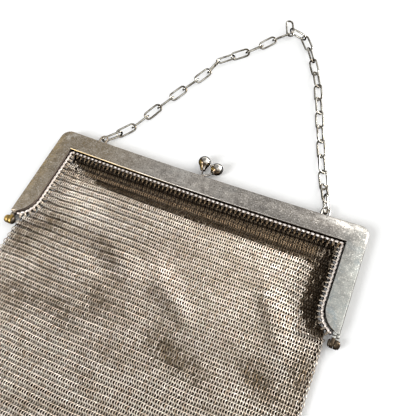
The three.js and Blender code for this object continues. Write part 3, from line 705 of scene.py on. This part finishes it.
def extra_hollow_shade(x, y):
    """How much more of each ring is painted dark than elsewhere, as painted shade; most beside the pouch's
    left side.
    """
    hollow_shade = 0.24 * np.exp(-(half_width(y) + x) / 4) * (y > HINGE_Y - 3)
    for place_x, place_y, run, across, depth in SHADED:
        hollow_shade += depth * np.exp(-(((x - place_x) / run) ** 2) - ((y - place_y) / across) ** 2)
    return hollow_shade


def add_rings(metal):
    """The front and the folded sides of the pouch, in rows of rings."""
    flat, leans, pairs = ring_layer()
    x, y = flat[:, 0], flat[:, 1]
    gather = np.exp((y - BAG_TOP) / 3.6)
    beside = np.exp(-(half_width(y) - np.abs(x)) / 3) * (y > HINGE_Y)
    x = x + 0.30 * gather * pairs[:, 0] + rng.normal(0, RING_JITTER, len(x))
    y = y + 0.34 * beside * pairs[:, 1] + rng.normal(0, RING_JITTER, len(y))
    away = smooth(BAG_TOP - y, 2, 14) * smooth(half_width(y) - np.abs(x), 2, 12)
    y = y + away * (0.18 * np.sin(x / 9.1 + y / 17) + 0.10 * np.sin(x / 4.7 - y / 8.3))
    centre = surface_point(x, y)
    along_x = unit(surface_point(x + STEP, y) - surface_point(x - STEP, y))
    along_y = unit(surface_point(x, y + STEP) - surface_point(x, y - STEP))
    normal = unit(np.cross(along_x, along_y))
    along_y = np.cross(normal, along_x)
    steep = RING_LEAN + EDGE_LEAN * np.maximum(gather, beside)
    lean = np.radians(
        steep * leans - SIDE_LEAN * smooth(60 - x, 0, 130) + rng.normal(0, RING_WOBBLE, len(x))
    )
    twist = np.radians(rng.normal(0, RING_WOBBLE, len(x)))
    axis_y = along_y * np.cos(twist)[:, None] + along_x * np.sin(twist)[:, None]
    axis_x = along_x * np.cos(twist)[:, None] - along_y * np.sin(twist)[:, None]
    across = axis_x * np.cos(lean)[:, None] + normal * np.sin(lean)[:, None]

    own = rng.random(len(x))
    hollow_shade = extra_hollow_shade(x, y)
    chance = rng.random(len(x))
    # Tarnish with painted shade and painted shadow, broken up ring by ring.
    tarnish_and_shade = ring_tarnish_and_shade(x, y)
    tarnish_and_shade = np.clip(tarnish_and_shade * np.where(tarnish_and_shade < 0.8, 0.5 + 1.0 * chance, 0.9 + 0.2 * chance), 0, 1)
    own = np.where(tarnish_and_shade > 0.8, 0.5 + 0.3 * own, own) * band_tone(x, y)
    # Some rings beside the right leg keep only part of the painted shadow.
    at_leg = (half_width(y) - x < LEG_SHADE) & (y > HINGE_Y)
    bare = (tarnish_and_shade > 0.9) & at_leg & (chance > 0.90 - 0.35 * smooth(y, -26, -14))
    tarnish_and_shade = np.where(bare, 0.45, tarnish_and_shade)

    per_part = -(-len(x) // RING_PARTS)
    for part in range(RING_PARTS):
        pick = slice(part * per_part, (part + 1) * per_part)
        points, quads = rings(
            centre[pick], axis_y[pick], across[pick], RING_BEND, RING_WIRE, RING_STEPS, RING_SIDES,
            RING_SQUARE,
        )
        each = RING_STEPS * RING_SIDES
        above = np.sum((points - np.repeat(centre[pick], each, 0)) * np.repeat(normal[pick], each, 0), 1)
        tones = np.stack([
            np.clip(0.5 + above / (2 * LAYER) - np.repeat(hollow_shade[pick], each), 0, 1),
            np.repeat(tarnish_and_shade[pick], each),
            np.repeat(own[pick], each),
        ], -1)
        points[:, 2] = np.maximum(points[:, 2], FLOOR_GAP)
        piece = add_mesh(f"mesh_rings_{part + 1}", points, quads, metal, tones)
        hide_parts("mesh_bag")


def add_back():
    """The back of the pouch, one thin sheet lying on the floor."""
    v = np.linspace(BAG_TOP - 0.2, -BAG_LENGTH + 0.05, BACK_ROWS)
    u = np.linspace(-1, 1, BACK_COLUMNS)
    grid_x = u[None] * (half_width(v) - 0.8)[:, None]
    grid_y = np.repeat(v[:, None], BACK_COLUMNS, 1)
    sheet_points = []
    for top in (True, False):
        z = np.full_like(grid_x, BACK_THICK if top else 0.0)
        sheet_points.append(np.stack([grid_x, grid_y, z], -1).reshape(-1, 3))
    sheet_points = np.concatenate(sheet_points)
    quads = []
    half = BACK_ROWS * BACK_COLUMNS
    for i in range(BACK_ROWS - 1):
        for k in range(BACK_COLUMNS - 1):
            a = i * BACK_COLUMNS + k
            quads.append((a, a + BACK_COLUMNS, a + BACK_COLUMNS + 1, a + 1))
            quads.append((half + a, half + a + 1, half + a + BACK_COLUMNS + 1, half + a + BACK_COLUMNS))
    for i in range(BACK_ROWS - 1):
        a, b = i * BACK_COLUMNS, (i + 1) * BACK_COLUMNS
        quads.append((a, half + a, half + b, b))
        a, b = a + BACK_COLUMNS - 1, b + BACK_COLUMNS - 1
        quads.append((b, half + b, half + a, a))
    for k in range(BACK_COLUMNS - 1):
        quads.append((k + 1, half + k + 1, half + k, k))
        a = (BACK_ROWS - 1) * BACK_COLUMNS + k
        quads.append((a, half + a, half + a + 1, a + 1))
    back = add_mesh("mesh_back", sheet_points, quads, sheet_material("back_metal_painted_shade"))
    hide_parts("mesh_bag")


# ---- Spiral bindings ----

def inner_edge(off, steps):
    """Evenly spaced points round the frame's opening, a distance inside its edge."""
    side = LEG_INSIDE - off
    right_side = []
    for angle in np.radians(np.linspace(250, 180, 24)):
        x_here = HALF_WIDTH + (LEG_WIDTH + off) * math.cos(angle)
        right_side.append((x_here, LEG_FOOT + (LEG_ROUNDING + off) * math.sin(angle)))
    for share in np.linspace(0, 1, 30):
        x_here = side * (1 - share)
        right_side.append((x_here, -BAR_WIDTH - off + float(bar_sag(np.array(x_here)))))
    left_side = [(-px, py) for px, py in right_side]
    outline = np.array(left_side + right_side[::-1][1:])
    lengths = np.concatenate([[0], np.cumsum(np.linalg.norm(np.diff(outline, axis=0), axis=1))])
    even = np.linspace(0, lengths[-1], steps)
    points = np.stack([np.interp(even, lengths, outline[:, axis]) for axis in (0, 1)], -1)
    return points, lengths[-1]


SPIRAL_PITCH = 2.07
SPIRAL_COIL = 0.17
SPIRAL_WIRE = 0.55
TURN_STEPS = 14  # in one turn of the spiral and round one tie
WIRE_SIDES = 6
TIE_REACH = 0.95  # from the spiral to the middle of the rings that tie the mesh to it
TIE_LONG, TIE_SIDE, TIE_WIRE, TIE_SQUARE = 1.25, 0.45, 0.24, 2.5
TIE_STEEP = 52.0  # degrees from lying flat
TIE_DROP = 0.18  # of a tie towards the mesh, over its reach


def add_spiral(name, side, path, ways, metal):
    """The wire on one half of the frame; side is 1 for the front and -1 for the back."""
    sideways = np.stack([-ways[:, 1], ways[:, 0]], -1)
    angle = np.arange(len(path)) * TAU / TURN_STEPS
    line = np.concatenate([
        path + sideways * (SPIRAL_COIL * np.cos(angle))[:, None],
        (FRAME_DEPTH / 2 + side * BINDING_HEIGHT + SPIRAL_COIL * np.sin(angle))[:, None],
    ], -1)
    points, quads = tube(line, SPIRAL_WIRE, WIRE_SIDES, False)
    piece = add_mesh(f"binding_spiral_{name}", points, quads, metal)
    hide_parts(f"binding_wire_{name}")


def add_ties(path, ways, metal):
    """One ring at each turn of the front spiral; under the bar they carry painted shadow, and all are darker
    away from the spiral.
    """
    turns = slice(TURN_STEPS // 2, None, TURN_STEPS)
    hold, along = path[turns], ways[turns]
    level = np.ones((len(hold), 1))
    inward = np.concatenate([np.stack([along[:, 1], -along[:, 0]], -1), -TIE_DROP * level], 1)
    height = FRAME_DEPTH / 2 + BINDING_HEIGHT + 0.05
    middle = np.concatenate([hold, height * level], 1) + inward * TIE_REACH
    steep = math.radians(TIE_STEEP)
    upright = np.concatenate([along * math.cos(steep), math.sin(steep) * level], 1)
    lines, _ = rings(
        middle, unit(inward) * TIE_LONG, upright * TIE_SIDE, 1.0, 0.0, TURN_STEPS, 1, TIE_SQUARE
    )
    tubes = [tube(line, TIE_WIRE, WIRE_SIDES, True) for line in lines.reshape(len(hold), TURN_STEPS, 3)]
    each = TURN_STEPS * WIRE_SIDES
    points = np.concatenate([body for body, _ in tubes])
    quads = np.concatenate([faces + number * each for number, (_, faces) in enumerate(tubes)])
    far = np.linalg.norm(points[:, :2] - np.repeat(hold, each, 0), axis=1) / (2 * TIE_LONG)
    bar = np.repeat(hold[:, 1] > -BAR_WIDTH - 3, each)
    # Painted shadow on the ties under the bar; all darker away from the spiral.
    tones = np.stack([
        np.ones(len(points)),
        np.clip(np.where(bar, 0.70 + 1.2 * far, 0.05 + 0.5 * far), 0, 1),
        np.full(len(points), 0.7),
    ], -1)
    piece = add_mesh("binding_ties", points, quads, metal, tones)
    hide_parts("mesh_bag")


def add_bindings(ring_metal, painted_shade_metal):
    """The spirals that sew the mesh to both halves, and the rings that tie it to the front one."""
    metal = bright_material(
        "binding_metal", (0.90, 0.84, 0.80), (0.66, 0.55, 0.48), 0.35, 2.5, 0.4, metallic=0.45
    )
    _, length = inner_edge(BINDING_OFF, 10)
    path, _ = inner_edge(BINDING_OFF, round(length / SPIRAL_PITCH) * TURN_STEPS + 1)
    ways = unit(np.gradient(path, axis=0))
    add_spiral("front", 1, path, ways, metal)
    add_ties(path, ways, ring_metal)
    # The back spiral, dark with painted shade.
    add_spiral("back", -1, path, ways, painted_shade_metal)


# ---- Chain ----

LINKS = 29
LINK_LENGTH, LINK_WIDTH, LINK_WIRE = 10.95, 4.4, 0.95
LINK_SIDES = 10
LINK_PLAY = 0.015  # by which the round wire is thinner than the solid's
TURNED_LINK = 15  # the one that stands out at the chain's far end


def link_material(name):
    """Worn silver wire; "tone" holds how near a link's end a place is, where tarnish and painted shade darken
    it, and the wire's inner side, in painted shade.
    """
    material, tree, shader = start(name)
    vector = object_place(tree)
    tone = add(tree, "ShaderNodeAttribute", attribute_name="tone").outputs["Color"]
    split = add(tree, "ShaderNodeSeparateColor", {0: tone})
    at_end, inside, own = split.outputs[0], split.outputs[1], split.outputs[2]
    patches = noise(tree, vector, 4.0, 2, 0.5)
    fine = noise(tree, vector, 1.6, 2, 0.5)
    bare = mix(tree, spread(tree, own, 0.05, 0.35), (0.74, 0.73, 0.67), (0.58, 0.565, 0.51))
    silver = mix(tree, spread(tree, patches, 0.42, 0.60), bare, (0.24, 0.22, 0.185))
    tarnish_and_shade = mix(tree, spread(tree, fine, 0.4, 0.6), (0.03, 0.026, 0.02), (0.12, 0.09, 0.06))
    # Tarnish with painted shade at the links' ends, and painted shade on the wire's inner side.
    dark_ends_and_inside = times(tree, spread(tree, at_end, 0.5, 0.85), spread(tree, own, 0.1, 0.5, 0.6, 1.0))
    dark_ends_and_inside = most(tree, dark_ends_and_inside, times(tree, inside, spread(tree, patches, 0.40, 0.55, 0.20, 0.75)))
    tree.links.new(mix(tree, dark_ends_and_inside, silver, tarnish_and_shade), shader.inputs["Base Color"])
    shader.inputs["Metallic"].default_value = 1.0
    tree.links.new(spread(tree, fine, 0.3, 0.75, 0.14, 0.24), shader.inputs["Roughness"])
    return material


def oval(steps):
    """Centre line of a link: straight sides that bow a little, round ends."""
    bend = (LINK_WIDTH - LINK_WIRE) / 2
    draw = (LINK_LENGTH - LINK_WIDTH) / 2
    around = []
    for end in (1, -1):
        for angle in np.linspace(-90, 90, steps // 2 - 4):
            turn = math.radians(angle)
            around.append((end * (draw + bend * math.cos(turn)), end * bend * math.sin(turn)))
        for share in (0.75, 0.5, 0.25):
            bow = 1 + 0.03 * math.sin(math.pi * share)
            around.append((end * draw * (2 * share - 1), end * bend * bow))
    return np.array(around)


def add_chain():
    """A smooth link round the middle of each solid one."""
    metal = link_material("link_metal")
    for number in range(1, LINKS + 1):
        node = f"link_{number:02d}"
        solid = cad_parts[node].data
        cloud = np.array([vertex.co for vertex in solid.vertices]) / MM - (0, Y_SHIFT, 0)
        cloud = np.unique(cloud.round(5), axis=0)
        middle = cloud.mean(0)
        _, _, axes = np.linalg.svd(cloud - middle, full_matrices=False)
        shape = oval(30)
        line = middle + shape[:, :1] * axes[0] + shape[:, 1:] * axes[1]
        points, quads = tube(line, LINK_WIRE / 2 - LINK_PLAY, LINK_SIDES, True)
        along = shape[:, 0] / (LINK_LENGTH / 2) * np.sign(axes[0][0])
        near_end = np.maximum(0.15, along) if number < TURNED_LINK else np.abs(along)
        # The wire's inner side, which takes painted shade.
        from_line = np.linalg.norm(points - middle, axis=1)
        from_line -= np.repeat(np.linalg.norm(line - middle, axis=1), LINK_SIDES)
        inward = 1 - smooth(from_line, -0.35, -0.05)
        own_tone = rng.random() * (1.0 if number < TURNED_LINK else 0.25)
        tones = np.stack([np.repeat(near_end, LINK_SIDES), inward, np.full(len(points), own_tone)], -1)
        piece = add_mesh(f"chain_{node}", points, quads, metal, tones)
        piece.visible_shadow = False
        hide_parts(node)


# ---- Clasp balls ----

BALL_RADIUS = 2.83
COLLAR_RADIUS = 1.15
STEM_ROOT_X = -2.9
NUB_RADIUS = 0.72
BALLS = {  # centre, root of the stem, neck below the centre, angle where the neck leaves
    "left": ((-4.3, 7.0, 3.0), (STEM_ROOT_X + 0.1, -BAR_DIP - 0.6, 1.05), 4.3, -42),
    "right": ((2.6, 5.3, 3.0), (STEM_ROOT_X + 3.1, 0.5, FRAME_DEPTH - 1.05), 3.1, -62),
}


def ball_material(name):
    """Silver plate, bright on the upper right as a painted highlight and dark brown elsewhere as painted
    shade, with a golden spot.
    """
    material, tree, shader = start(name)
    vector = object_place(tree)
    normal = add(tree, "ShaderNodeNewGeometry").outputs["Normal"]

    def facing(way):
        ways = {0: normal, 1: Vector(way).normalized()}
        return add(tree, "ShaderNodeVectorMath", ways, operation="DOT_PRODUCT").outputs["Value"]

    patches = noise(tree, vector, 1.8, 3, 0.6)
    # Painted highlight on the upper right, painted shade elsewhere.
    painted_lit_side = calc(tree, "ADD", facing((0.48, 0.50, 0.70)), spread(tree, patches, 0.3, 0.7, -0.25, 0.25))
    colour = mix(tree, spread(tree, painted_lit_side, 0.30, 0.75), (0.10, 0.075, 0.05), (0.82, 0.79, 0.73))
    gold = times(tree, spread(tree, facing((-0.60, -0.57, 0.56)), 0.90, 0.97), 0.9)
    colour = mix(tree, gold, colour, (0.62, 0.44, 0.14))
    tree.links.new(colour, shader.inputs["Base Color"])
    shader.inputs["Metallic"].default_value = 1.0
    tree.links.new(spread(tree, patches, 0.3, 0.7, 0.10, 0.26), shader.inputs["Roughness"])
    return material


def turned(profile, centre, axis, around):
    """A closed body of revolution; profile has (radius, height) from the lowest point to the highest."""
    axis = np.array(axis) / np.linalg.norm(axis)
    side = np.cross(axis, (0.2, 0.1, 0.97))
    side /= np.linalg.norm(side)
    other = np.cross(axis, side)
    angle = np.arange(around) * TAU / around
    points = [
        np.array(centre) + axis * height + radius * (np.cos(a) * side + np.sin(a) * other)
        for radius, height in profile
        for a in angle
    ]
    return np.array(points), wall_quads(len(profile), around, False)


def add_balls():
    """The two balls of the clasp, with their necks, and the small nub where they press together."""
    metal = ball_material("ball_metal")
    for side, (centre_at, root, neck, leave) in BALLS.items():
        axis = np.array(centre_at) - np.array(root)
        profile = [(0.5, -neck + 0.02), (COLLAR_RADIUS - 0.15, -neck), (COLLAR_RADIUS, -neck + 0.15)]
        leave_at = math.radians(leave)
        low = BALL_RADIUS * math.sin(leave_at)
        for share in (0.2, 0.4, 0.6, 0.8, 0.9):
            width = COLLAR_RADIUS + (BALL_RADIUS * math.cos(leave_at) - COLLAR_RADIUS) * share ** 1.7
            profile.append((width, -neck + (low + neck) * share))
        for angle in np.linspace(leave_at, math.radians(89), 16):
            profile.append((BALL_RADIUS * math.cos(angle), BALL_RADIUS * math.sin(angle)))
        points, quads = turned(profile, centre_at, axis, 28)
        piece = add_mesh(f"ball_{side}", points, quads, metal)
        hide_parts(f"clasp_ball_{side}")
        if side == "right":
            nub_way = unit(np.array(BALLS["left"][0]) - np.array(centre_at))
            bend = np.radians(np.linspace(-89, 89, 9))
            nub = [(NUB_RADIUS * math.cos(a), NUB_RADIUS * math.sin(a)) for a in bend]
            points, quads = turned(nub, np.array(centre_at) + nub_way * (BALL_RADIUS + 0.19), nub_way, 14)
            add_mesh("ball_nub", points, quads, metal)


# ---- Frame and pins, from the solids ----

PIN_HEAD = 0.8
PIN_RADIUS = 0.6
BEVEL = 0.12
RIVETS = {  # base and dark colour, share of gold
    "left": ((0.50, 0.36, 0.13), (0.12, 0.08, 0.04), 0.7),
    "right": ((0.12, 0.09, 0.065), (0.04, 0.03, 0.022), 0.1),
}


def add_rivets(painted_shade_metal):
    """Domed heads on a thin shank; the head on the inner side of each leg is dark with painted shade."""
    for side, (base, dark, gold) in RIVETS.items():
        metal = bright_material(f"rivet_metal_{side}", base, dark, 0.25, 1.6, 0.8, gold)
        node = f"hinge_pin_{side}"
        low, high = (np.array(corner) / MM - (0, Y_SHIFT, 0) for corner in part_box(node))
        middle, half = (low + high) / 2, (high - low) / 2
        profile = [(0.06, -half[0])]
        for reach in (-1, 1):
            dome = [
                (half[1] * math.cos(angle), reach * (half[0] - PIN_HEAD * (1 - math.sin(angle))))
                for angle in np.radians(np.linspace(85, 0, 8))
            ]
            shank = [(PIN_RADIUS, dome[-1][1])]
            profile += dome + shank if reach < 0 else shank + dome[::-1]
        profile.append((0.06, half[0]))
        points, quads = turned(profile, middle, (1, 0, 0), 22)
        piece = add_mesh(f"hinge_rivet_{side}", points, quads, metal)
        # The inner heads, dark with painted shade.
        piece.data.materials.append(painted_shade_metal)
        for polygon in piece.data.polygons:
            polygon.material_index = int(abs(polygon.center.x) < abs(middle[0]) * MM)
        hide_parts(node)


def finish_frame():
    """Metal and small bevels for the solids that stay."""
    plate_metal = frame_material("plate_metal")
    for node in ("frame_front", "frame_back"):
        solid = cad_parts[node]
        solid.data.materials.clear()
        solid.data.materials.append(plate_metal)
        weld = solid.modifiers.new("weld", "WELD")
        weld.merge_threshold = 1e-6
        bevel = solid.modifiers.new("bevel", "BEVEL")
        bevel.width = BEVEL * MM
        bevel.segments = 2
        bevel.limit_method = "ANGLE"
        bevel.angle_limit = math.radians(32)
        bevel.harden_normals = True
        solid.data.shade_smooth()


# ---- Floor and light ----

FLOOR_REACH = 3.0
FLOOR_LEVEL = -2e-5


def add_floor():
    corners = [(-1, -1), (1, -1), (1, 1), (-1, 1)]
    mesh = bpy.data.meshes.new("floor")
    points = [(FLOOR_REACH * x, FLOOR_REACH * y, FLOOR_LEVEL) for x, y in corners]
    mesh.from_pydata(points, [], [(0, 1, 2, 3)])
    floor = bpy.data.objects.new("floor", mesh)
    bpy.context.scene.collection.objects.link(floor)
    material, _, shader = start("floor")
    shader.inputs["Base Color"].default_value = (0.87, 0.89, 0.91, 1)
    shader.inputs["Roughness"].default_value = 0.8
    mesh.materials.append(material)
    floor.visible_glossy = False


# A soft bright studio, dim below the horizon, with one darker card where the flat plates reflect
BRIGHT_SIDE = Vector((0.74, 0.50, 0.45)).normalized()
CARD = Vector((-0.20, 0.44, 0.87)).normalized()
CARD_TONE = 0.30
STUDIO = [  # share of the way from the side away from the light to the light, brightness
    (0.20, 0.40),
    (0.50, 0.70),
    (0.80, 1.00),
    (0.95, 1.60),
    (1.00, 2.60),
]
HORIZON_TONE = 0.10


def add_studio():
    world = bpy.data.worlds.new("world")
    bpy.context.scene.world = world
    world.use_nodes = True
    tree = world.node_tree
    view = add(tree, "ShaderNodeTexCoord").outputs["Generated"]

    def toward(direction, low, high):
        """0 to 1 as a view into the studio nears a direction."""
        ways = {0: view, 1: tuple(direction)}
        facing = add(tree, "ShaderNodeVectorMath", ways, operation="DOT_PRODUCT").outputs["Value"]
        return spread(tree, facing, low, high)

    brightest = STUDIO[-1][1]
    warm = (1.0, 0.97, 0.93)
    tone = ramp(tree, toward(BRIGHT_SIDE, -1, 1), [
        (place, tuple(value / brightest * tint for tint in warm)) for place, value in STUDIO
    ])
    tone = mix(tree, toward(CARD, 0.80, 0.90), tone, grey(CARD_TONE / brightest))
    tone = mix(tree, toward(Vector((0, 0, -1)), -0.16, 0.05), tone, grey(HORIZON_TONE / brightest))
    background = tree.nodes["Background"]
    tree.links.new(tone, background.inputs["Color"])
    background.inputs["Strength"].default_value = brightest


def area_light(name, azimuth, elevation, distance, size, power, colour=(1, 1, 1)):
    """A square light aimed at the purse; azimuth is from +X towards +Y."""
    data = bpy.data.lights.new(name, "AREA")
    data.shape = "SQUARE"
    data.size = size
    data.energy = power
    data.color = colour
    light = bpy.data.objects.new(name, data)
    bpy.context.scene.collection.objects.link(light)
    az, el = math.radians(azimuth), math.radians(elevation)
    way = Vector((math.cos(az) * math.cos(el), math.sin(az) * math.cos(el), math.sin(el)))
    light.location = way * distance
    light.rotation_euler = way.to_track_quat("Z", "Y").to_euler()
    return light


def add_lights():
    key = area_light("key", 46, 14, 1.2, 0.45, 24.0, (1.0, 0.97, 0.92))
    key.visible_diffuse = False
    overhead = area_light("overhead", 90, 88, 1.6, 2.4, 1.0)
    overhead.visible_glossy = False
    area_light("fill", 235, 34, 1.4, 0.6, 15.0)


def finish_picture():
    """Plain colours, and a touch of sharpening."""
    scene = bpy.context.scene
    scene.view_settings.view_transform = "Standard"
    scene.use_nodes = True
    tree = scene.node_tree
    for node in list(tree.nodes):
        tree.nodes.remove(node)
    layers = add(tree, "CompositorNodeRLayers")
    picture = {"Fac": 0.02, "Image": layers.outputs["Image"]}
    crisp = add(tree, "CompositorNodeFilter", picture, filter_type="SHARPEN_DIAMOND")
    add(tree, "CompositorNodeComposite", {"Image": crisp.outputs["Image"]})


# ---- The purse ----

ring_metal = ring_material("ring_metal")
# Painted shade: dark metal for the back spiral and the inner heads of the rivets.
painted_shade_metal = bright_material("painted_shade_metal", (0.16, 0.13, 0.10), (0.06, 0.05, 0.04), 0.4, 2.5, 0.5)
add_camera()
add_rings(ring_metal)
add_back()
add_bindings(ring_metal, painted_shade_metal)
add_chain()
add_balls()
add_rivets(painted_shade_metal)
finish_frame()
add_floor()
add_studio()
add_lights()
finish_picture()
